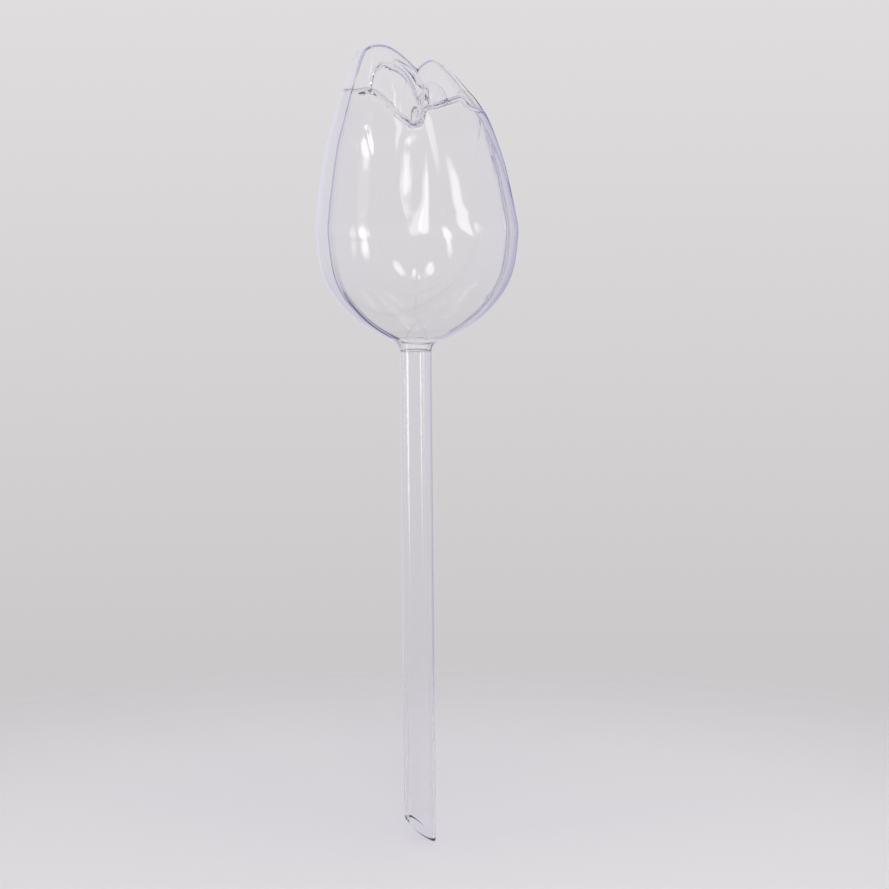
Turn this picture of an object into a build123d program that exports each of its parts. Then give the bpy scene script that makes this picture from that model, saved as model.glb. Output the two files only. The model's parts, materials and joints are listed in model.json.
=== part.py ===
from build123d import *
from math import cos, hypot, radians, sin, tan
import os

# A clear watering globe: a hollow tulip bud on a hollow stem with a slant-cut tip.
# The bud is two half shells that meet on the parting plane, y = 0, and the stem is plugged into
# the collar under them. Z runs up the stem. The origin is on the stem's axis, at the lowest
# section where the stem is still a full circle, just above the slanted cut.

# Stem
stem_diameter = 10.8
stem_wall = 1.2
stem_length = 171.5  # from the cut's low end to the collar
tip_cut_angle = 39  # degrees from level
tip_turn = -38  # degrees from X to the cut's low side

# Joint between the stem and the bud
collar_length = 2.4
spigot_wall = 0.55
glue_gap = 0.05
neck_flare = 1.6  # radius of the hollow curve between the collar and the bud

# Bud
bud_diameter = 68.8
bud_height = 101.1  # from its underside to the tall petal's tip
bud_wall = 0.8
bud_offset_x = 2.4  # the bud's centre stands this far off the stem's axis
bud_offset_y = 2.4
petal_turn = -27  # degrees from the parting plane's normal to the side that the petals' V faces

# Parting line
flash_height = 0.3
flash_width = 0.5
stem_flash_height = 0.12
stem_flash_width = 0.4
stem_flash_turn = 14  # degrees: the stem's parting line is turned from the bud's
weld_depth = 1.5
weld_width = 1.4
weld_crown_height = 14.0  # the crown's weld starts this far below the tall petal's tip
weld_base_height = 9.0  # the lower weld ends this far above the bud's underside

overrun = 5.0  # how far a cutting solid passes the faces that it cuts

stem_radius = stem_diameter / 2
bore_radius = stem_radius - stem_wall
spigot_radius = bore_radius + spigot_wall
socket_radius = spigot_radius + glue_gap
tip_drop = stem_diameter * tan(radians(tip_cut_angle))
stem_top = stem_length - tip_drop
bud_base = stem_top + collar_length
bud_top = bud_base + bud_height
bud_radius = bud_diameter / 2
bud_centre = (bud_offset_x, bud_offset_y, bud_base)
# The parting plane as seen from the front, and the plane square to it as seen along X.
bud_plane = Plane((bud_offset_x, 0, bud_base), x_dir=(1, 0, 0), z_dir=(0, -1, 0))
side_plane = Plane((0, 0, bud_base), x_dir=(0, 1, 0), z_dir=(1, 0, 0))
# On the petals' plane X runs across, Y runs up and Z points to the side that their V faces.
petal_cos = cos(radians(petal_turn))
petal_sin = sin(radians(petal_turn))
petal_plane = Plane(bud_centre, x_dir=(petal_cos, petal_sin, 0), z_dir=(petal_sin, -petal_cos, 0))

# The bud's round sections: radius and height as shares of the bud's radius and height, and how
# far each section's centre leans to the left along the parting plane, as a share of the radius.
section_shares = [
    (0.12, 0.002, 0.0),
    (0.36, 0.025, 0.0),
    (0.675, 0.099, 0.0),
    (0.915, 0.212, 0.0),
    (1.0, 0.37, 0.0),
    (0.977, 0.45, 0.012),
    (0.94, 0.523, 0.021),
    (0.9, 0.593, 0.03),
    (0.836, 0.678, 0.047),
    (0.75, 0.762, 0.061),
    (0.68, 0.814, 0.087),
    (0.61, 0.853, 0.122),
    (0.547, 0.891, 0.157),
    (0.442, 0.94, 0.215),
    (0.36, 0.964, 0.273),
    (0.23, 0.99, 0.33),
]

# The crown's rim on the parting plane: distance along X from the bud's centre, and height, as
# shares of the same two sizes. The tall petal is on the left and the right petal on the right.
rim_shares = [
    (-1.1, 0.74),
    (-0.75, 0.9),
    (-0.66, 0.945),
    (-0.607, 0.97),
    (-0.53, 0.99),
    (-0.47, 0.998),
    (-0.41, 1.0),
    (-0.35, 0.996),
    (-0.29, 0.986),
    (-0.22, 0.97),
    (-0.13, 0.945),
    (-0.055, 0.921),
    (0.01, 0.905),
    (0.05, 0.92),
    (0.105, 0.938),
    (0.19, 0.943),
    (0.29, 0.937),
    (0.4, 0.925),
    (1.1, 0.8),
]

# The same crown seen along X: how it falls away before and behind the parting plane. Distances
# are shares of the bud's radius and are below zero before the plane.
fall_shares = [
    (-0.5, 0.1),
    (-0.35, 0.6),
    (-0.233, 0.8),
    (-0.116, 0.94),
    (-0.05, 0.99),
    (0.0, 1.0),
    (0.06, 0.995),
    (0.116, 0.97),
    (0.233, 0.88),
    (0.35, 0.75),
    (0.5, 0.5),
]

# The top edge of the outer petals, seen from the side that their V faces: distance across
# from the bud's centre, and height above its underside, as shares of the same two sizes.
petal_edge_shares = [
    (-1.2, 0.85),
    (-0.6, 0.848),
    (-0.43, 0.852),
    (-0.31, 0.815),
    (-0.17, 0.774),
    (0.0, 0.74),
    (0.075, 0.776),
    (0.15, 0.795),
    (0.23, 0.818),
    (0.44, 0.826),
    (0.62, 0.815),
    (1.2, 0.79),
]

# Each inner petal is a lobe in the V: its centre, its three half axes and its lean in degrees.
# Places across and toward the V, and half axes, are shares of the bud's radius; heights are
# shares of the bud's height above its underside.
petal_shares = {
    "heart petal": {"at": (-0.22, 0.3, 0.76), "half": (0.29, 0.22, 0.18), "lean": -4},
    "curled petal": {"at": (0.15, 0.3, 0.76), "half": (0.17, 0.24, 0.115), "lean": -8},
}


def inset_sections(depth):
    """The bud's sections as radius, height and lean, moved inward by depth."""
    sections = [(r * bud_radius, h * bud_height, lean * bud_radius) for r, h, lean in section_shares]
    around = [(0, 0, 0)] + sections + [(0, bud_height, sections[-1][2])]
    moved = []
    for (r0, h0, _), (r, h, lean), (r1, h1, _) in zip(around, around[1:], around[2:]):
        length = hypot(r1 - r0, h1 - h0)
        moved.append((r - depth * (h1 - h0) / length, h + depth * (r1 - r0) / length, lean))
    return moved


def round_body(depth):
    """The bud's round body up to its full height, inset by depth all round."""
    with BuildPart() as body:
        for radius, height, lean in inset_sections(depth):
            with BuildSketch(Plane((bud_offset_x - lean, bud_offset_y, bud_base + height))):
                Circle(radius)
        loft()
    return body.part


def below(plane, shares, depth):
    """What lies below an edge that is drawn on an upright plane, moved down by depth."""
    edge = [(u * bud_radius, h * bud_height - depth) for u, h in shares]
    with BuildPart() as block:
        with BuildSketch(plane):
            with BuildLine():
                Spline(*edge)
                Polyline(edge[-1], (edge[-1][0], -overrun), (edge[0][0], -overrun), edge[0])
            make_face()
        extrude(amount=bud_diameter, both=True)
    return block.part


def outer_petals(depth):
    """The round body up to the outer petals' top edge."""
    with BuildPart() as petals:
        add(round_body(depth))
        add(below(petal_plane, petal_edge_shares, depth), mode=Mode.INTERSECT)
    return petals.part


def crown(depth):
    """The tall petal and the right petal, which meet the parting plane with their rims."""
    with BuildPart() as petals:
        add(round_body(depth))
        add(below(bud_plane, rim_shares, depth), mode=Mode.INTERSECT)
        add(below(side_plane, fall_shares, depth), mode=Mode.INTERSECT)
    return petals.part


def inner_petal(shares, depth):
    """One inner petal: an egg-shaped lobe, inset by depth."""
    u, toward, h = shares["at"]
    half_u, half_toward, half_h = shares["half"]
    centre = petal_plane.from_local_coords((u * bud_radius, h * bud_height, toward * bud_radius))
    half_axes = (half_u * bud_radius - depth, half_h * bud_height - depth, half_toward * bud_radius - depth)
    with BuildPart() as lobe:
        Sphere(1)
        scale(by=half_axes)
    plane = Plane(centre, x_dir=petal_plane.x_dir, z_dir=petal_plane.z_dir)
    return plane.location * Rot(0, 0, shares["lean"]) * lobe.part


def bud_form(depth):
    """The whole bud as a solid, inset by depth all round."""
    with BuildPart() as form:
        add(outer_petals(depth))
        add(crown(depth))
        for shares in petal_shares.values():
            add(inner_petal(shares, depth))
    return form.part


def in_parting_band(form, width, low, high):
    """What of a solid lies in a band along the parting plane, between two heights."""
    with BuildPart() as band:
        add(form)
        with BuildSketch(Plane.XY.offset(low)):
            Rectangle(2 * bud_diameter, width)
        extrude(amount=high - low, mode=Mode.INTERSECT)
    return band.part


def made_anew(part):
    """The same solid, sewn again from its faces so that all of them face outward."""
    # The first face sets the way round, and a sliver of the neck is too small for that.
    return Solid(Shell(part.faces().sort_by(SortBy.AREA, reverse=True)))


outer_form = bud_form(0)
inner_form = bud_form(bud_wall)

# The weld bead is a thicker band inside the crown and inside the lower shoulders.
with BuildPart() as weld_bead:
    add(inner_form)
    add(bud_form(weld_depth), mode=Mode.SUBTRACT)
crown_weld = in_parting_band(weld_bead.part, weld_width, bud_top - weld_crown_height, bud_top)
base_weld = in_parting_band(weld_bead.part, weld_width, bud_base, bud_base + weld_base_height)

# The whole shell of the bud, with its collar, before it is parted.
with BuildPart() as bud_shell:
    add(outer_form)
    add(in_parting_band(bud_form(-flash_height), flash_width, bud_base + overrun, bud_top + overrun))
    with BuildSketch(Plane.XZ):
        with BuildLine():
            flare_top = (stem_radius + neck_flare, bud_base + neck_flare)
            Polyline((stem_radius, bud_base), (stem_radius, stem_top), (0, stem_top), (0, flare_top[1]), flare_top)
            RadiusArc(flare_top, (stem_radius, bud_base), -neck_flare)
        make_face()
    revolve(axis=Axis.Z)
    add(inner_form, mode=Mode.SUBTRACT)
    add(crown_weld)
    add(base_weld)
    with BuildSketch(Plane.XY.offset(stem_top)):
        Circle(socket_radius)
    extrude(amount=collar_length + weld_depth + overrun, mode=Mode.SUBTRACT)

with BuildPart() as front_half:
    add(bud_shell.part)
    split(bisect_by=Plane.XZ, keep=Keep.TOP)

with BuildPart() as back_half:
    add(bud_shell.part)
    split(bisect_by=Plane.XZ, keep=Keep.BOTTOM)

bulb_front_shell = made_anew(front_half.part)
bulb_back_shell = made_anew(back_half.part)

with BuildPart() as stem_tube:
    with BuildSketch(Plane.XY.offset(-tip_drop)):
        Circle(stem_radius)
        Rectangle(stem_diameter + 2 * stem_flash_height, stem_flash_width, rotation=stem_flash_turn)
    extrude(amount=stem_length)
    with BuildSketch(Plane.XY.offset(stem_top)):
        Circle(spigot_radius)
    extrude(amount=collar_length + bud_wall)
    with BuildSketch(Plane.XY.offset(-tip_drop)):
        Circle(bore_radius)
    extrude(amount=stem_length + collar_length + bud_wall, mode=Mode.SUBTRACT)
    low_side = Vector(1, 0, 0).rotate(Axis.Z, tip_turn)
    cut_normal = low_side.rotate(Axis((0, 0, 0), Vector(0, 0, 1).cross(low_side)), tip_cut_angle - 90)
    split(bisect_by=Plane(low_side * -stem_radius, z_dir=cut_normal), keep=Keep.TOP)

bulb_front_shell.label = "bulb_front_shell"
bulb_back_shell.label = "bulb_back_shell"
stem_tube.part.label = "stem_tube"

os.makedirs("parts", exist_ok=True)
export_step(bulb_front_shell, "parts/bulb_front_shell.step")
export_step(bulb_back_shell, "parts/bulb_back_shell.step")
export_step(stem_tube.part, "parts/stem_tube.step")
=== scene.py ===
# Clear watering globe: a blow-moulded tulip bud on a hollow stem with a slant-cut tip.
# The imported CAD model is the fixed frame. Sizes in the dictionaries are in millimetres.

import json
from math import cos, pi, radians, sin, tan

import bmesh
import bpy
import numpy as np
from mathutils import Matrix, Vector
from mathutils.geometry import interpolate_bezier


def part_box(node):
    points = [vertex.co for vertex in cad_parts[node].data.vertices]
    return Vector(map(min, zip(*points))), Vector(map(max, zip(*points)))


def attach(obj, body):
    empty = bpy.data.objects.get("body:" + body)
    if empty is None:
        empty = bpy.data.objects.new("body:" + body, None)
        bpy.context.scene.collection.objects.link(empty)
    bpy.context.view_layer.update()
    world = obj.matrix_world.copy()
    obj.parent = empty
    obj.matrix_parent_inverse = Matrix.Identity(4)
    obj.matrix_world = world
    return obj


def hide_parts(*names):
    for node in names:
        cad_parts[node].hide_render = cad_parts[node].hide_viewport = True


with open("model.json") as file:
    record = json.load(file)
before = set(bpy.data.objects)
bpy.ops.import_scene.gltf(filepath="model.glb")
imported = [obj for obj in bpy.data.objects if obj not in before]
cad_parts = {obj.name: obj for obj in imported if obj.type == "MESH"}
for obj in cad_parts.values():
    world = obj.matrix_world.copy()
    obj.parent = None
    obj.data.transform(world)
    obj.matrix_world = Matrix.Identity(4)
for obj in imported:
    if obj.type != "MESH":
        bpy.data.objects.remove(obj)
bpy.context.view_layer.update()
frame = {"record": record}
scene = bpy.context.scene
print("frame loaded")

mm = 0.001
mounts = {mount["name"]: mount for mount in frame["record"]["mounts"]}
stemRadius = mounts["stem_in_soil"]["dims"]["r_mm"]
boreRadius = mounts["stem_bore"]["dims"]["r_mm"]
stemLow, stemHigh = (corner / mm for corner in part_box("stem_tube"))
frontLow, frontHigh = (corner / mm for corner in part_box("bulb_front_shell"))
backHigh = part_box("bulb_back_shell")[1] / mm
stemTop = frontLow.z  # the collar's lower face


# Helpers


def linear(channel):
    return channel / 12.92 if channel <= 0.04045 else ((channel + 0.055) / 1.055) ** 2.4


def hexColor(code):
    return [linear(int(code[i : i + 2], 16) / 255) for i in (0, 2, 4)] + [1.0]


def addNode(tree, kind, settings=None, inputs=None):
    node = tree.nodes.new(kind)
    for name, value in (settings or {}).items():
        setattr(node, name, value)
    for name, value in (inputs or {}).items():
        if isinstance(value, bpy.types.NodeSocket):
            tree.links.new(value, node.inputs[name])
        else:
            node.inputs[name].default_value = value
    return node


def newMaterial(name):
    material = bpy.data.materials.new(name)
    material.use_nodes = True
    material.node_tree.nodes.clear()
    return material, material.node_tree


def mixShaders(tree, factor, first, second):
    return addNode(tree, "ShaderNodeMixShader", None, {0: factor, 1: first, 2: second}).outputs["Shader"]


def shareBetween(tree, value, low, high, blend="LINEAR"):
    # 0 at low and 1 at high.
    inputs = {"Value": value, "From Min": low, "From Max": high}
    return addNode(tree, "ShaderNodeMapRange", {"interpolation_type": blend}, inputs).outputs["Result"]


def addPiece(name, bm, material):
    mesh = bpy.data.meshes.new(name)
    for face in bm.faces:
        face.smooth = True
    bm.to_mesh(mesh)
    bm.free()
    piece = bpy.data.objects.new(name, mesh)
    scene.collection.objects.link(piece)
    mesh.materials.append(material)
    return piece


def smoothCurve(points, startTangent=None, endTangent=None, perSpan=24):
    points = [Vector((x, y, 0)) for x, y in points]
    around = [points[0]] + points + [points[-1]]
    tangents = [(after - before).normalized() for before, after in zip(around, around[2:])]
    if startTangent:
        tangents[0] = Vector((*startTangent, 0))
    if endTangent:
        tangents[-1] = Vector((*endTangent, 0))
    curve = []
    for a, b, leaving, arriving in zip(points, points[1:], tangents, tangents[1:]):
        reach = (b - a).length / 3
        curve += interpolate_bezier(a, a + leaving * reach, b - arriving * reach, b, perSpan)[:-1]
    return np.array([point[:2] for point in curve + [points[-1]]])


def resample(curve, count):
    along = np.concatenate([[0], np.cumsum(np.hypot(*np.diff(curve, axis=0).T))])
    stops = np.linspace(0, along[-1], count)
    return np.column_stack([np.interp(stops, along, curve[:, 0]), np.interp(stops, along, curve[:, 1])])


def smoothMin(a, b, blend):
    mix = np.clip(0.5 + 0.5 * (b - a) / blend, 0, 1)
    return b + (a - b) * mix - blend * mix * (1 - mix)


def smoothMax(a, b, blend):
    return -smoothMin(-a, -b, blend)


def smoothStep(low, high, value):
    t = np.clip((value - low) / (high - low), 0, 1)
    return t * t * (3 - 2 * t)


# Clear PVC: glassy, a little soft and uneven from blow moulding, with a blue-violet toner that
# shows where the light runs along the wall, at the parting line and at cut edges.

pvcLook = {
    "ior": 1.53,
    "roughness": 0.03,
    "toner": "c4b0fa",
    "tonerDensity": 26.0,  # per metre
    "weldTint": "ecedf9",
    "weldReach": 0.0102,  # just over half the gap between the half shells
    "waveSize": 9.0,
    "waveDepth": 0.08,
    "waveStrength": 0.5,
    "waveDetail": 1.0,
    "shadowTint": "f4f4fa",
}


def makeClearPvc(name, stretch, welded, look):
    material, tree = newMaterial(name)
    place = addNode(tree, "ShaderNodeTexCoord").outputs["Object"]
    squeezed = addNode(tree, "ShaderNodeMapping", None, {"Vector": place, "Scale": (1, 1, stretch)})
    waves = addNode(
        tree,
        "ShaderNodeTexNoise",
        None,
        {
            "Vector": squeezed.outputs["Vector"],
            "Scale": 1 / (look["waveSize"] * mm),
            "Detail": look["waveDetail"],
        },
    )
    bump = addNode(
        tree,
        "ShaderNodeBump",
        None,
        {
            "Height": waves.outputs["Fac"],
            "Strength": look["waveStrength"],
            "Distance": look["waveDepth"] * mm,
        },
    )
    plastic = addNode(
        tree,
        "ShaderNodeBsdfPrincipled",
        None,
        {
            "Base Color": (1, 1, 1, 1),
            "Roughness": look["roughness"],
            "IOR": look["ior"],
            "Transmission Weight": 1.0,
            "Normal": bump.outputs["Normal"],
        },
    )
    # At the parting plane the two walls are welded: light passes between them, a little tinted.
    apart = addNode(tree, "ShaderNodeSeparateXYZ", None, {"Vector": place})
    offPlane = addNode(tree, "ShaderNodeMath", {"operation": "ABSOLUTE"}, {0: apart.outputs["Y"]})
    onPlane = addNode(
        tree,
        "ShaderNodeMath",
        {"operation": "LESS_THAN"},
        {0: offPlane.outputs["Value"], 1: look["weldReach"] * mm},
    )
    isWeld = addNode(
        tree,
        "ShaderNodeMath",
        {"operation": "MULTIPLY"},
        {0: onPlane.outputs["Value"], 1: welded},
    )
    weld = addNode(tree, "ShaderNodeBsdfTransparent", None, {"Color": hexColor(look["weldTint"])})
    joined = mixShaders(tree, isWeld.outputs["Value"], plastic.outputs["BSDF"], weld.outputs["BSDF"])
    # Light gets through the thin walls instead of leaving a solid shadow.
    path = addNode(tree, "ShaderNodeLightPath")
    through = addNode(tree, "ShaderNodeBsdfTransparent", None, {"Color": hexColor(look["shadowTint"])})
    surface = mixShaders(tree, path.outputs["Is Shadow Ray"], joined, through.outputs["BSDF"])
    toner = addNode(
        tree,
        "ShaderNodeVolumeAbsorption",
        None,
        {"Color": hexColor(look["toner"]), "Density": look["tonerDensity"]},
    )
    addNode(
        tree,
        "ShaderNodeOutputMaterial",
        None,
        {"Surface": surface, "Volume": toner.outputs["Volume"]},
    )
    return material


bulbPvc = makeClearPvc("clearBlowMouldedPvc", 1.0, 1, pvcLook)
stemPvc = makeClearPvc("clearDrawnPvcTube", 0.05, 0, pvcLook)  # its waves are drawn out along the tube
print("materials made")


# Bud: two half shells. A half turn of the nominal outline is pressed onto the petals' form.

bud = {
    "wall": 0.8,
    "crownWall": 0.5,  # the wall thins out towards the crown, from crownFrom to crownThin
    "crownFrom": 70.0,
    "crownThin": 90.0,
    "collarLength": 2.4,
    "socketRadius": 4.8,
    "socketEnds": (-0.4, 1.2),  # where the socket's wall turns into the bud's
    "neckFlare": 1.6,
    "neckReach": 12.0,
    "petalTurn": radians(-27),  # from the parting plane's normal to the side that the V faces
    # The step from the front petals down to the inner ones, and how softly its edges are rounded.
    # The mould gives the outside its crisp step; the inside follows it over a wider band.
    "outside": {"step": 0.32, "lip": 0.6, "round": 1.6, "fillet": 0.6},
    "inside": {"step": 0.0, "lip": 0.6, "round": 1.6, "fillet": 0.02},
    "insideBand": 4.0,
    "frontFrom": (0.5, 4.0),  # how far before the parting plane the step sets in
    "flashHeight": 0.07,
    "flashWidth": 0.22,
    "flashStarts": (4.0, 8.0),
    "partingGap": 0.01,
    "beadDepth": 0.2,  # the weld bead inside the parting line
    "beadWidth": 0.6,
    "baseBeadStarts": (1.0, 3.0),
    "baseBeadEnds": (9.0, 16.0),
    "crownBeadStarts": (86.0, 92.0),
    "middle": 45.0,
    # A point is pressed along the line from the core on the axis, or, near the neck, from a spot
    # that is only neckLift above it. The form is sought by halving, between two shares of the line.
    "core": 60.0,
    "coreReach": (6.0, 26.0),
    "neckLift": 9.0,
    "pressShares": (0.02, 1.6),
    "halvings": 26,
    "probe": 0.2,  # how far to each side the field is read for its slope
    "leastSlope": 0.4,
    "sharpFrom": radians(60),  # edges that fold more than this are shaded sharp
    "flareLift": 0.3,  # keeps the flare's rings clear of the collar's last one
    "flareGap": 0.4,  # keeps the body's rings clear of the flare's last one
    "neckRings": 4,
    "flareRings": 7,
    "bodyRings": 100,
    "crownRings": 132,
    "columns": 176,
    "seamColumns": [0.01, 0.08, 0.16, 0.26, 0.42, 0.75],  # distances from the parting plane
}
budBase = stemTop + bud["collarLength"]
budRadius = (backHigh.y - frontLow.y) / 2
budX = (frontLow.x + frontHigh.x) / 2
budY = (frontLow.y + backHigh.y) / 2

# Radius and height above the underside.
budOutline = [
    (0, 0),
    (4.1, 0.2),
    (12.4, 2.5),
    (23.2, 10.0),
    (31.5, 21.4),
    (34.4, 37.0),
    (33.6, 45.5),
    (32.5, 52.0),
    (30.95, 60.0),
    (28.75, 68.5),
    (25.8, 77.0),
    (23.4, 82.3),
    (21.0, 86.2),
    (18.8, 90.1),
    (17.4, 92.3),
    (15.2, 95.0),
    (12.4, 97.5),
    (9.0, 99.8),
    (5.0, 101.2),
    (0, 101.8),
]
# How far the bud leans to the left along the parting plane, and height.
budLean = [
    (0, 36),
    (-0.4, 45),
    (-1.0, 60),
    (-1.6, 68.5),
    (-2.1, 77),
    (-3.0, 82.3),
    (-4.2, 86.2),
    (-5.4, 90.1),
    (-6.1, 92.2),
    (-7.4, 94.7),
    (-9.4, 97.5),
    (-11.5, 100),
]
# Top edge of the two front petals, across and up, with the V that they leave between them.
frontEdge = [
    (-41, 86.5),
    (-20.5, 85.6),
    (-15.5, 86.0),
    (-10.8, 83.3),
    (-6.8, 78.9),
    (-2.5, 75.9),
    (-0.6, 74.7),
    (1.4, 77.0),
    (2.6, 80.0),
    (6.3, 80.9),
    (10.9, 82.3),
    (15.2, 83.2),
    (19.0, 80.0),
    (41, 74),
]
# Petals above and inside them. Two stand on the parting plane, so their edges run along X. Three
# more stand toward the V, so their edges run across. Behind and before its ridge each top falls
# away by so many millimetres for each square millimetre.
innerPetals = {
    "tall": {
        "edge": [
            (-34, 104),
            (-19, 102.6),
            (-14.5, 101.8),
            (-11, 101.2),
            (-7.8, 99.9),
            (-5, 98.2),
            (-2.2, 96.0),
            (0.5, 93.6),
            (4.3, 90.9),
            (7.0, 87.6),
            (12, 78),
        ],
        "onParting": True,
        "fall": (0.16, 0.4),
    },
    "right": {
        "edge": [
            (-14, 80),
            (-4, 87.5),
            (0.5, 91.6),
            (3.3, 94.1),
            (6.0, 95.6),
            (9.0, 96.0),
            (12.5, 96.0),
            (17, 95.0),
            (24, 90),
            (34, 80),
        ],
        "onParting": True,
        "fall": (0.16, 0.14),
    },
    "rolled": {
        "edge": [
            (-15, 86),
            (-11, 92.8),
            (-8.7, 95.8),
            (-6.8, 96.2),
            (-4.6, 95.2),
            (-2.2, 93.6),
            (0.4, 91.6),
            (2.4, 88),
            (6, 78),
        ],
        "onParting": False,
        "ridge": 9,
        "fall": (0.5, 0.3),
    },
    "heart": {
        "edge": [
            (-20, 74),
            (-16.2, 85),
            (-15.0, 89.6),
            (-13.4, 93.0),
            (-10.8, 95.2),
            (-8.3, 95.0),
            (-6.2, 93.9),
            (-4.0, 92.4),
            (-2.2, 90.3),
            (-0.7, 87.6),
            (0.6, 84.0),
            (2.6, 74),
        ],
        "onParting": False,
        "ridge": 14,
        "fall": (0.5, 0.12),
    },
    "curled": {
        "edge": [
            (-1, 72),
            (1.0, 82.6),
            (2.2, 86.4),
            (4.0, 88.3),
            (5.8, 88.5),
            (8.0, 87.2),
            (9.8, 85.1),
            (10.8, 82.2),
            (13, 74),
        ],
        "onParting": False,
        "ridge": 15,
        "fall": (0.4, 0.14),
    },
}
# Soft creases on the V's side, from one point (across, up) to another, with depth and width. Each
# sets in over a first share of its length and fades out from a later one.
creaseSetsIn = 0.2
creaseFades = 0.55
creases = [
    {"from": (-1.0, 74.0), "to": (-2.0, 40.0), "depth": 0.6, "width": 3.2},
    {"from": (15.3, 80.0), "to": (18.7, 59.5), "depth": 0.16, "width": 0.7},
    {"from": (21.2, 76.0), "to": (18.7, 59.5), "depth": 0.16, "width": 0.7},
    {"from": (-17.0, 75.0), "to": (-14.0, 62.0), "depth": 0.1, "width": 0.7},
]

# The outline as distances from the bud's middle, by the angle from straight down. The slopes turn
# a distance along such a line into one across the surface.
outline = smoothCurve(budOutline, startTangent=(1, 0), endTangent=(-1, 0))
fromMiddle = outline - (0, bud["middle"])
bodyAngles = np.arctan2(fromMiddle[:, 0], -fromMiddle[:, 1])
bodyRadii = np.hypot(*fromMiddle.T)
bodySlopes = 1 / np.hypot(1, np.gradient(bodyRadii, bodyAngles) / bodyRadii)
leanCurve = smoothCurve(budLean)
frontCurve = smoothCurve(frontEdge)
innerCurves = {name: smoothCurve(petal["edge"]) for name, petal in innerPetals.items()}


def turnToV(x, y):
    # Distances across the V's side and toward it.
    turn = bud["petalTurn"]
    return x * cos(turn) + y * sin(turn), x * sin(turn) - y * cos(turn)


def aboveCurve(across, height, curve):
    # Distance above the curve, measured across it.
    rise = np.gradient(curve[:, 1], curve[:, 0])
    above = height - np.interp(across, curve[:, 0], curve[:, 1])
    return above / np.hypot(1, np.interp(across, curve[:, 0], rise))


def creaseDepth(across, toward, height, crease):
    (u0, h0), (u1, h1) = crease["from"], crease["to"]
    runU, runH = u1 - u0, h1 - h0
    along = np.clip(((across - u0) * runU + (height - h0) * runH) / (runU**2 + runH**2), 0, 1)
    off = np.hypot(across - u0 - along * runU, height - h0 - along * runH)
    fade = smoothStep(0, creaseSetsIn, along) * (1 - smoothStep(creaseFades, 1, along))
    return crease["depth"] * fade * np.exp(-((off / crease["width"]) ** 2)) * (toward > 0)


def formField(points, petals):
    # Distance in mm to the bud's outer form, below zero inside it.
    x, y, height = points[:, 0] - budX, points[:, 1] - budY, points[:, 2] - budBase
    across, toward = turnToV(x, y)
    radius = np.hypot(x - np.interp(height, leanCurve[:, 1], leanCurve[:, 0]), y)
    angle = np.arctan2(radius, bud["middle"] - height)
    body = np.hypot(radius, height - bud["middle"]) - np.interp(angle, bodyAngles, bodyRadii)
    body = body * np.interp(angle, bodyAngles, bodySlopes)
    for crease in creases:
        body = body + creaseDepth(across, toward, height, crease)
    form = smoothMax(body, aboveCurve(across, height, frontCurve), petals["lip"])
    inset = body + petals["step"] * smoothStep(*bud["frontFrom"], -points[:, 1])
    for name, petal in innerPetals.items():
        if petal["onParting"]:
            along, off = points[:, 0], -points[:, 1]
        else:
            along, off = across, toward - petal["ridge"]
        fallen = np.where(off < 0, *petal["fall"]) * off**2
        sheet = smoothMax(inset, aboveCurve(along, height + fallen, innerCurves[name]), petals["round"])
        form = smoothMin(form, sheet, petals["fillet"])
    neck = np.maximum(np.hypot(points[:, 0], points[:, 1]) - stemRadius, height - bud["neckReach"])
    return smoothMin(form, neck, bud["neckFlare"] * 2)


def steepness(points, petals):
    # How fast the form's field rises. It is less than 1 on a ridge, where a wall would grow thick.
    steps = np.eye(3) * bud["probe"]
    rises = [formField(points + step, petals) - formField(points - step, petals) for step in steps]
    return np.clip(np.sqrt(sum(rise**2 for rise in rises)) / (2 * bud["probe"]), bud["leastSlope"], 1)


def pressOntoForm(points, level, petals):
    # Each point slides along the line from its own spot on the stem's axis.
    height = points[:, 2] - budBase
    radius = np.hypot(points[:, 0], points[:, 1])
    nearNeck = bud["neckLift"] * smoothStep(-bud["collarLength"], 0.5, height)
    opening = np.where(height > bud["middle"] / 2, 1, smoothStep(*bud["coreReach"], radius))
    lift = nearNeck + (bud["core"] - height - nearNeck) * opening
    starts = np.column_stack([0 * height, 0 * height, points[:, 2] + lift])
    rays = points - starts
    low, high = (np.full(len(points), share) for share in bud["pressShares"])
    for _ in range(bud["halvings"]):
        half = (low + high) / 2
        inside = formField(starts + rays * half[:, None], petals) < level
        low, high = np.where(inside, half, low), np.where(inside, high, half)
    return starts + rays * low[:, None]


def setColumns(points, side):
    # The columns beside the parting plane stand at fixed distances from it, for the flash.
    radius = np.maximum(np.hypot(points[:, 0], points[:, 1]), 1e-9)
    step = pi / bud["columns"]
    column = np.arctan2(np.abs(points[:, 1]), points[:, 0]) / step
    fold = np.minimum(column, bud["columns"] - column)
    last = len(bud["seamColumns"]) - 1
    offsets = np.interp(fold, range(last + 1), bud["seamColumns"])
    beside = np.arcsin(np.minimum(offsets / radius, np.sin(np.minimum(fold, last) * step)))
    edge = np.arcsin(np.minimum(bud["seamColumns"][last] / radius, sin(last * step)))
    away = edge + (fold - last) / (bud["columns"] / 2 - last) * (pi / 2 - edge)
    angle = np.where(fold < last, beside, away)
    angle = np.where(column > bud["columns"] / 2, pi - angle, angle)
    return np.column_stack([radius * np.cos(angle), side * radius * np.sin(angle), points[:, 2]])


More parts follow.
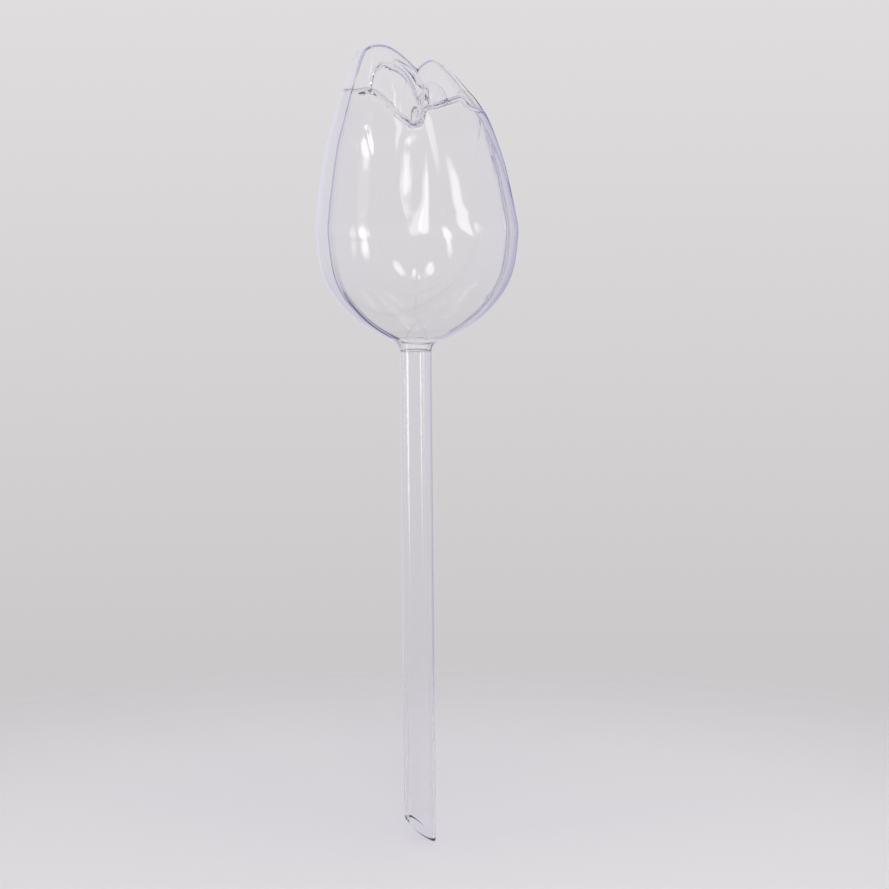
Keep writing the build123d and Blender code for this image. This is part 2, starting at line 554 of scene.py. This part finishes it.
def makeHalfShell(name, side, material):
    neckRun = [(stemRadius, -bud["collarLength"]), (stemRadius, -bud["neckFlare"])]
    turns = np.linspace(0, pi / 2, bud["flareRings"])
    flare = np.column_stack(
        [
            stemRadius + bud["neckFlare"] * (1 - np.cos(turns)),
            -bud["neckFlare"] * (1 - np.sin(turns)) + bud["flareLift"],
        ]
    )
    body = outline[(outline[:, 0] > flare[-1][0] + bud["flareGap"]) & (outline[:, 1] < bud["crownFrom"])]
    crown = outline[outline[:, 1] >= bud["crownFrom"]]
    rings = np.concatenate(
        [
            resample(np.array(neckRun), bud["neckRings"])[:-1],
            flare,
            resample(body, bud["bodyRings"]),
            resample(crown, bud["crownRings"]),
        ]
    )
    bm = bmesh.new()
    verts = [bm.verts.new((radius, 0, budBase + height)) for radius, height in rings]
    edges = [bm.edges.new(pair) for pair in zip(verts, verts[1:])]
    bmesh.ops.spin(bm, geom=verts + edges, axis=(0, 0, 1), angle=side * pi, steps=bud["columns"])
    bmesh.ops.remove_doubles(bm, verts=bm.verts, dist=1e-5)
    bmesh.ops.recalc_face_normals(bm, faces=bm.faces)
    outerVerts = set(bm.verts)
    made = bmesh.ops.extrude_face_region(bm, geom=bm.faces[:])
    bm.verts.index_update()
    innerVerts = {item for item in made["geom"] if isinstance(item, bmesh.types.BMVert)}
    innerIndex = [vert.index for vert in innerVerts]
    outerIndex = [vert.index for vert in outerVerts - innerVerts]
    points = np.array([vert.co for vert in bm.verts])
    points = setColumns(points, side)
    outer, inner = points[outerIndex], points[innerIndex]
    flash = bud["flashHeight"] * np.exp(-((outer[:, 1] / bud["flashWidth"]) ** 2))
    flash = flash * smoothStep(*bud["flashStarts"], outer[:, 2] - budBase)
    points[outerIndex] = pressOntoForm(outer, flash, bud["outside"])
    above = inner[:, 2] - budBase
    wall = stemRadius - bud["socketRadius"]
    wall = wall + (bud["wall"] - wall) * smoothStep(*bud["socketEnds"], above)
    wall = wall + (bud["crownWall"] - bud["wall"]) * smoothStep(bud["crownFrom"], bud["crownThin"], above)
    beads = smoothStep(*bud["baseBeadStarts"], above) - smoothStep(*bud["baseBeadEnds"], above)
    beads = beads + smoothStep(*bud["crownBeadStarts"], above)
    wall = wall + bud["beadDepth"] * np.exp(-((inner[:, 1] / bud["beadWidth"]) ** 2)) * beads
    facing = pressOntoForm(inner, 0 * above, bud["inside"])
    wall = wall * steepness(facing, bud["inside"])
    across, _ = turnToV(facing[:, 0] - budX, facing[:, 1] - budY)
    overEdge = smoothStep(-1, 1, aboveCurve(across, facing[:, 2] - budBase, frontCurve) / bud["insideBand"])
    wall = wall + bud["outside"]["step"] * overEdge * smoothStep(*bud["frontFrom"], -facing[:, 1])
    points[innerIndex] = pressOntoForm(inner, -wall, bud["inside"])
    points[:, 1] = side * np.maximum(np.abs(points[:, 1]), bud["partingGap"])
    for vert, point in zip(bm.verts, points):
        vert.co = Vector(point) * mm
    if bm.calc_volume(signed=True) < 0:
        bmesh.ops.reverse_faces(bm, faces=bm.faces)
    for edge in bm.edges:
        edge.smooth = edge.calc_face_angle(0) < bud["sharpFrom"]
    piece = addPiece(name, bm, material)
    print(name, "made,", len(piece.data.polygons), "faces")
    return piece


bulbFrontShell = makeHalfShell("bulbFrontShell", -1, bulbPvc)
bulbBackShell = makeHalfShell("bulbBackShell", 1, bulbPvc)


# Stem: a tube that ends in a thinner spigot above and a slanted cut below.

stem = {
    "spigotRadius": 4.75,
    "partingTurn": radians(14),  # the tube's parting line is turned from the bud's
    "tipTurn": radians(-38),
    "tipCutAngle": radians(39),
    "cutLoops": (1.2, 0.5, 0),  # the cut, and two loops above it that keep the shading straight
    "overrun": 4.0,  # how far the tube runs down past its tip before the cut
    "flashHeight": 0.12,
    "flashWidth": 0.3,
    "columns": 160,
    "rings": 40,
    "straightFrom": 2.0,  # height of the lowest ring, just above the cut
    "rimBevel": 0.18,
    "shoulderBevel": 0.15,
}


def makeStem(name, material):
    bevel = stem["shoulderBevel"]
    turn = stem["partingTurn"]
    start = stemLow.z - stem["overrun"]
    outerRun = np.linspace(stemTop - 4 * bevel, stem["straightFrom"], stem["rings"])
    profile = [(boreRadius, start)]
    profile += [(boreRadius, z) for z in outerRun[::-1]]
    profile += [
        (boreRadius, stemHigh.z - 3 * bevel),
        (boreRadius, stemHigh.z - bevel),
        (boreRadius + bevel, stemHigh.z),
        (stem["spigotRadius"] - bevel, stemHigh.z),
        (stem["spigotRadius"], stemHigh.z - bevel),
        (stem["spigotRadius"], stemHigh.z - 3 * bevel),
        (stem["spigotRadius"], stemTop + 2 * bevel),
        (stem["spigotRadius"], stemTop),
        (stemRadius - bevel, stemTop),
        (stemRadius, stemTop - bevel),
    ]
    profile += [(stemRadius, z) for z in outerRun] + [(stemRadius, start)]
    bm = bmesh.new()
    verts = [bm.verts.new((radius * cos(turn), radius * sin(turn), z)) for radius, z in profile]
    edges = [bm.edges.new(pair) for pair in zip(verts, verts[1:])]
    bmesh.ops.spin(
        bm,
        geom=verts + edges,
        axis=(0, 0, 1),
        angle=2 * pi,
        steps=stem["columns"],
        use_merge=True,
    )
    bmesh.ops.recalc_face_normals(bm, faces=bm.faces)
    # The two parting ridges along the tube.
    for vert in bm.verts:
        radius = vert.co.xy.length
        if radius > stemRadius - bevel / 2:
            off = abs(sin(vert.co.xy.angle_signed(Vector((cos(turn), sin(turn)))))) * radius
            swell = 1 + stem["flashHeight"] * max(0, 1 - off / stem["flashWidth"]) / radius
            vert.co.x *= swell
            vert.co.y *= swell
    lowSide = Vector((cos(stem["tipTurn"]), sin(stem["tipTurn"]), 0))
    slant = Vector((0, 0, cos(stem["tipCutAngle"]))) + lowSide * sin(stem["tipCutAngle"])
    for above in stem["cutLoops"]:
        bmesh.ops.bisect_plane(
            bm,
            geom=bm.verts[:] + bm.edges[:] + bm.faces[:],
            plane_co=lowSide * -stemRadius + slant * above,
            plane_no=slant,
            clear_inner=above == 0,
        )
    rims = [edge for edge in bm.edges if edge.is_boundary]
    bmesh.ops.bridge_loops(bm, edges=rims)
    bmesh.ops.bevel(
        bm,
        geom=rims,
        offset=stem["rimBevel"],
        offset_type="OFFSET",
        segments=3,
        profile=0.5,
        affect="EDGES",
        material=-1,
    )
    bmesh.ops.scale(bm, vec=(mm, mm, mm), verts=bm.verts)
    if bm.calc_volume(signed=True) < 0:
        bmesh.ops.reverse_faces(bm, faces=bm.faces)
    piece = addPiece(name, bm, material)
    print(name, "made,", len(piece.data.polygons), "faces")
    return piece


stemTube = makeStem("stemTube", stemPvc)

# Every piece stands for one CAD node and rides with the only body.
for piece, node, slot in (
    (bulbFrontShell, "bulb_front_shell", "clear_pvc_bulb"),
    (bulbBackShell, "bulb_back_shell", "clear_pvc_bulb"),
    (stemTube, "stem_tube", "clear_pvc_stem"),
):
    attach(piece, "root")
    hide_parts(node)


# The photograph's angle, which the room and the lamps are placed by too.

shot = {
    "azimuth": radians(-27),
    "elevation": radians(7),
    "roll": radians(-0.5),
    "distance": 1000.0,
    "aimHeight": 130.14,
    "aimRight": 9.6,
    "fieldWidth": 304.9,  # what the frame's width takes in at the object
    "sensor": 36.0,
    "clip": (0.05, 20),  # metres
}


# Stage: a pale floor disc that fades into a pale backdrop, which the world gives.

stage = {
    "floorRadius": 420.0,
    "floorColumns": 96,
    "fade": (120.0, 411.6),
    "floorColor": "c8c6c9",
    "floorRoughness": 0.6,
    "backdropTop": "dfdddd",
    "backdropLow": "c4c1c3",
    "roomColor": "e4e5fa",
    "backdropHeights": (-0.27, 0.03),  # heights of the line of sight, as its Z share
    "dimSide": "7c7cc0",
    "dimAzimuth": 35.0,  # degrees right of the backdrop
    "dimReach": (0.82, 0.95),  # cosines of the angles off it where it sets in and is full
    "roomFill": 0.55,
}


def makeFloor(stage):
    material, tree = newMaterial("matPaper")
    place = addNode(tree, "ShaderNodeTexCoord").outputs["Object"]
    reach = addNode(tree, "ShaderNodeVectorMath", {"operation": "LENGTH"}, {0: place})
    low, high = stage["fade"]
    fade = shareBetween(tree, reach.outputs["Value"], low * mm, high * mm, "SMOOTHERSTEP")
    paper = addNode(
        tree,
        "ShaderNodeBsdfDiffuse",
        None,
        {"Color": hexColor(stage["floorColor"]), "Roughness": stage["floorRoughness"]},
    )
    clear = addNode(tree, "ShaderNodeBsdfTransparent")
    surface = mixShaders(tree, fade, paper.outputs["BSDF"], clear.outputs["BSDF"])
    addNode(tree, "ShaderNodeOutputMaterial", None, {"Surface": surface})
    bm = bmesh.new()
    radius = stage["floorRadius"] * mm
    bmesh.ops.create_circle(bm, cap_ends=True, segments=stage["floorColumns"], radius=radius)
    bmesh.ops.translate(bm, vec=(0, 0, stemLow.z * mm), verts=bm.verts)
    return addPiece("floor", bm, material)


def makeWorld(stage):
    world = bpy.data.worlds.new("paleRoom")
    scene.world = world
    world.use_nodes = True
    tree = world.node_tree
    tree.nodes.clear()
    direction = addNode(tree, "ShaderNodeTexCoord").outputs["Generated"]
    apart = addNode(tree, "ShaderNodeSeparateXYZ", None, {"Vector": direction})
    rise = shareBetween(tree, apart.outputs["Z"], *stage["backdropHeights"])
    backdrop = addNode(
        tree,
        "ShaderNodeMix",
        {"data_type": "RGBA"},
        {"Factor": rise, 6: hexColor(stage["backdropLow"]), 7: hexColor(stage["backdropTop"])},
    )
    seen = addNode(tree, "ShaderNodeBackground", None, {"Color": backdrop.outputs[2], "Strength": 1.0})
    # Reflections see a pale room that is dim to the right of the backdrop.
    dimTurn = radians(stage["dimAzimuth"]) - shot["azimuth"]
    dimWay = (sin(dimTurn), cos(dimTurn), 0)
    toDim = addNode(tree, "ShaderNodeVectorMath", {"operation": "DOT_PRODUCT"}, {0: direction, 1: dimWay})
    dim = shareBetween(tree, toDim.outputs["Value"], *stage["dimReach"], "SMOOTHSTEP")
    roomColor = addNode(
        tree,
        "ShaderNodeMix",
        {"data_type": "RGBA"},
        {"Factor": dim, 6: hexColor(stage["roomColor"]), 7: hexColor(stage["dimSide"])},
    )
    room = addNode(tree, "ShaderNodeBackground", None, {"Color": roomColor.outputs[2], "Strength": 1.0})
    fill = addNode(tree, "ShaderNodeBackground", None, {"Color": (1, 1, 1, 1), "Strength": stage["roomFill"]})
    path = addNode(tree, "ShaderNodeLightPath")
    glossy = mixShaders(tree, path.outputs["Is Glossy Ray"], fill.outputs[0], room.outputs[0])
    direct = addNode(
        tree,
        "ShaderNodeMath",
        {"operation": "MAXIMUM"},
        {0: path.outputs["Is Camera Ray"], 1: path.outputs["Is Transmission Ray"]},
    )
    surface = mixShaders(tree, direct.outputs["Value"], glossy, seen.outputs[0])
    addNode(tree, "ShaderNodeOutputWorld", None, {"Surface": surface})


makeFloor(stage)
makeWorld(stage)

# Softboxes. Each is placed by its azimuth and elevation from the camera's side and the bud's belly,
# and sized by the width and height that it fills, all in degrees. Lean turns it to the right. The
# near wall mirrors some of them, and the far wall, seen through the near one, the others.
softboxes = {
    "leftHigh": {"at": (-66, 22), "size": (22, 15), "lean": 0, "glow": 1.8, "wall": "near"},
    "leftLow": {"at": (-61, -5), "size": (20, 30), "lean": 0, "glow": 1.8, "wall": "near"},
    "leftLowFar": {"at": (-78, -5), "size": (13, 24), "lean": 0, "glow": 0.7, "wall": "far"},
    "leftBetween": {"at": (-64, 12), "size": (20, 44), "lean": 0, "glow": 0.2, "wall": "near"},
    "windowLeft": {"at": (-1, 8), "size": (15, 36), "lean": 0, "glow": 0.9, "wall": "near"},
    "windowRight": {"at": (8, 11), "size": (16, 36), "lean": 0, "glow": 1.5, "wall": "near"},
    "rightSlant": {"at": (55, 9), "size": (15, 46), "lean": 33, "glow": 1.3, "wall": "near"},
    "rightSmall": {"at": (34, -3), "size": (13, 34), "lean": 15, "glow": 1.7, "wall": "near"},
    "topLeft": {"at": (-17, 35), "size": (14, 28), "lean": 0, "glow": 0.9, "wall": "far"},
    "topMiddle": {"at": (5, 44), "size": (9, 28), "lean": 0, "glow": 0.9, "wall": "far"},
    "topRight": {"at": (28, 34), "size": (14, 34), "lean": 15, "glow": 0.9, "wall": "far"},
}
softboxDistance = 900.0
wattsPerGlow = 4 * pi  # watts for each square metre at a glow of 1
clothFade = (0.5, 0.2)  # where the glow ends and where it is full, as shares of the size from the middle


def makeSoftbox(name, box):
    azimuth, elevation = radians(box["at"][0]) + shot["azimuth"], radians(box["at"][1])
    away = Vector((sin(azimuth) * cos(elevation), -cos(azimuth) * cos(elevation), sin(elevation)))
    lamp = bpy.data.lights.new(name, "AREA")
    lamp.shape = "RECTANGLE"
    lamp.size, lamp.size_y = (2 * tan(radians(angle / 2)) * softboxDistance * mm for angle in box["size"])
    lamp.energy = box["glow"] * wattsPerGlow * lamp.size * lamp.size_y
    lamp.use_nodes = True
    tree = lamp.node_tree
    tree.nodes.clear()
    spot = addNode(tree, "ShaderNodeNewGeometry").outputs["Parametric"]
    centered = addNode(tree, "ShaderNodeVectorMath", {"operation": "SUBTRACT"}, {0: spot, 1: (0.5, 0.5, 0)})
    apart = addNode(tree, "ShaderNodeSeparateXYZ", None, {"Vector": centered.outputs["Vector"]})
    flat = addNode(tree, "ShaderNodeCombineXYZ", None, {"X": apart.outputs["X"], "Y": apart.outputs["Y"]})
    reach = addNode(tree, "ShaderNodeVectorMath", {"operation": "LENGTH"}, {0: flat.outputs["Vector"]})
    glow = shareBetween(tree, reach.outputs["Value"], *clothFade, "SMOOTHERSTEP")
    shine = addNode(tree, "ShaderNodeEmission", None, {"Strength": glow})
    addNode(tree, "ShaderNodeOutputLight", None, {"Surface": shine.outputs["Emission"]})
    holder = bpy.data.objects.new(name, lamp)
    scene.collection.objects.link(holder)
    belly = Vector((budX, budY, budBase + bud["middle"])) * mm
    look = away.to_track_quat("Z", "Y").to_matrix() @ Matrix.Rotation(radians(box["lean"]), 3, "Z")
    holder.matrix_world = Matrix.Translation(belly + away * softboxDistance * mm) @ look.to_4x4()
    holder.visible_camera = False
    holder.visible_glossy = box["wall"] == "near"
    holder.visible_transmission = box["wall"] == "far"


for name, box in softboxes.items():
    makeSoftbox(name, box)

# A soft lamp above, which only lights the floor and gives the object its shadow.
overhead = {"size": 0.9, "energy": 5.0, "at": (0, -0.2, 1.3)}  # metres and watts


def makeOverhead(overhead):
    lamp = bpy.data.lights.new("overhead", "AREA")
    lamp.size, lamp.energy = overhead["size"], overhead["energy"]
    holder = bpy.data.objects.new("overhead", lamp)
    scene.collection.objects.link(holder)
    holder.location = overhead["at"]
    holder.visible_camera = holder.visible_glossy = holder.visible_transmission = False


makeOverhead(overhead)


# Camera


def makeCamera(shot):
    azimuth, elevation = shot["azimuth"], shot["elevation"]
    right = Vector((cos(azimuth), sin(azimuth), 0))
    back = Vector((sin(azimuth) * cos(elevation), -cos(azimuth) * cos(elevation), sin(elevation)))
    aim = right * shot["aimRight"] + Vector((0, 0, shot["aimHeight"]))
    data = bpy.data.cameras.new("photoCamera")
    data.sensor_width = shot["sensor"]
    data.lens = shot["sensor"] * shot["distance"] / shot["fieldWidth"]
    data.clip_start, data.clip_end = shot["clip"]
    camera = bpy.data.objects.new("photoCamera", data)
    scene.collection.objects.link(camera)
    look = (-back).to_track_quat("-Z", "Y").to_matrix() @ Matrix.Rotation(shot["roll"], 3, "Z")
    camera.matrix_world = Matrix.Translation((aim + back * shot["distance"]) * mm) @ look.to_4x4()
    scene.camera = camera


makeCamera(shot)
scene.view_settings.view_transform = "Standard"
# A line of sight crosses the clear walls many times.
scene.cycles.max_bounces, scene.cycles.glossy_bounces, scene.cycles.transmission_bounces = 24, 16, 24
print("stage, lights and camera set")
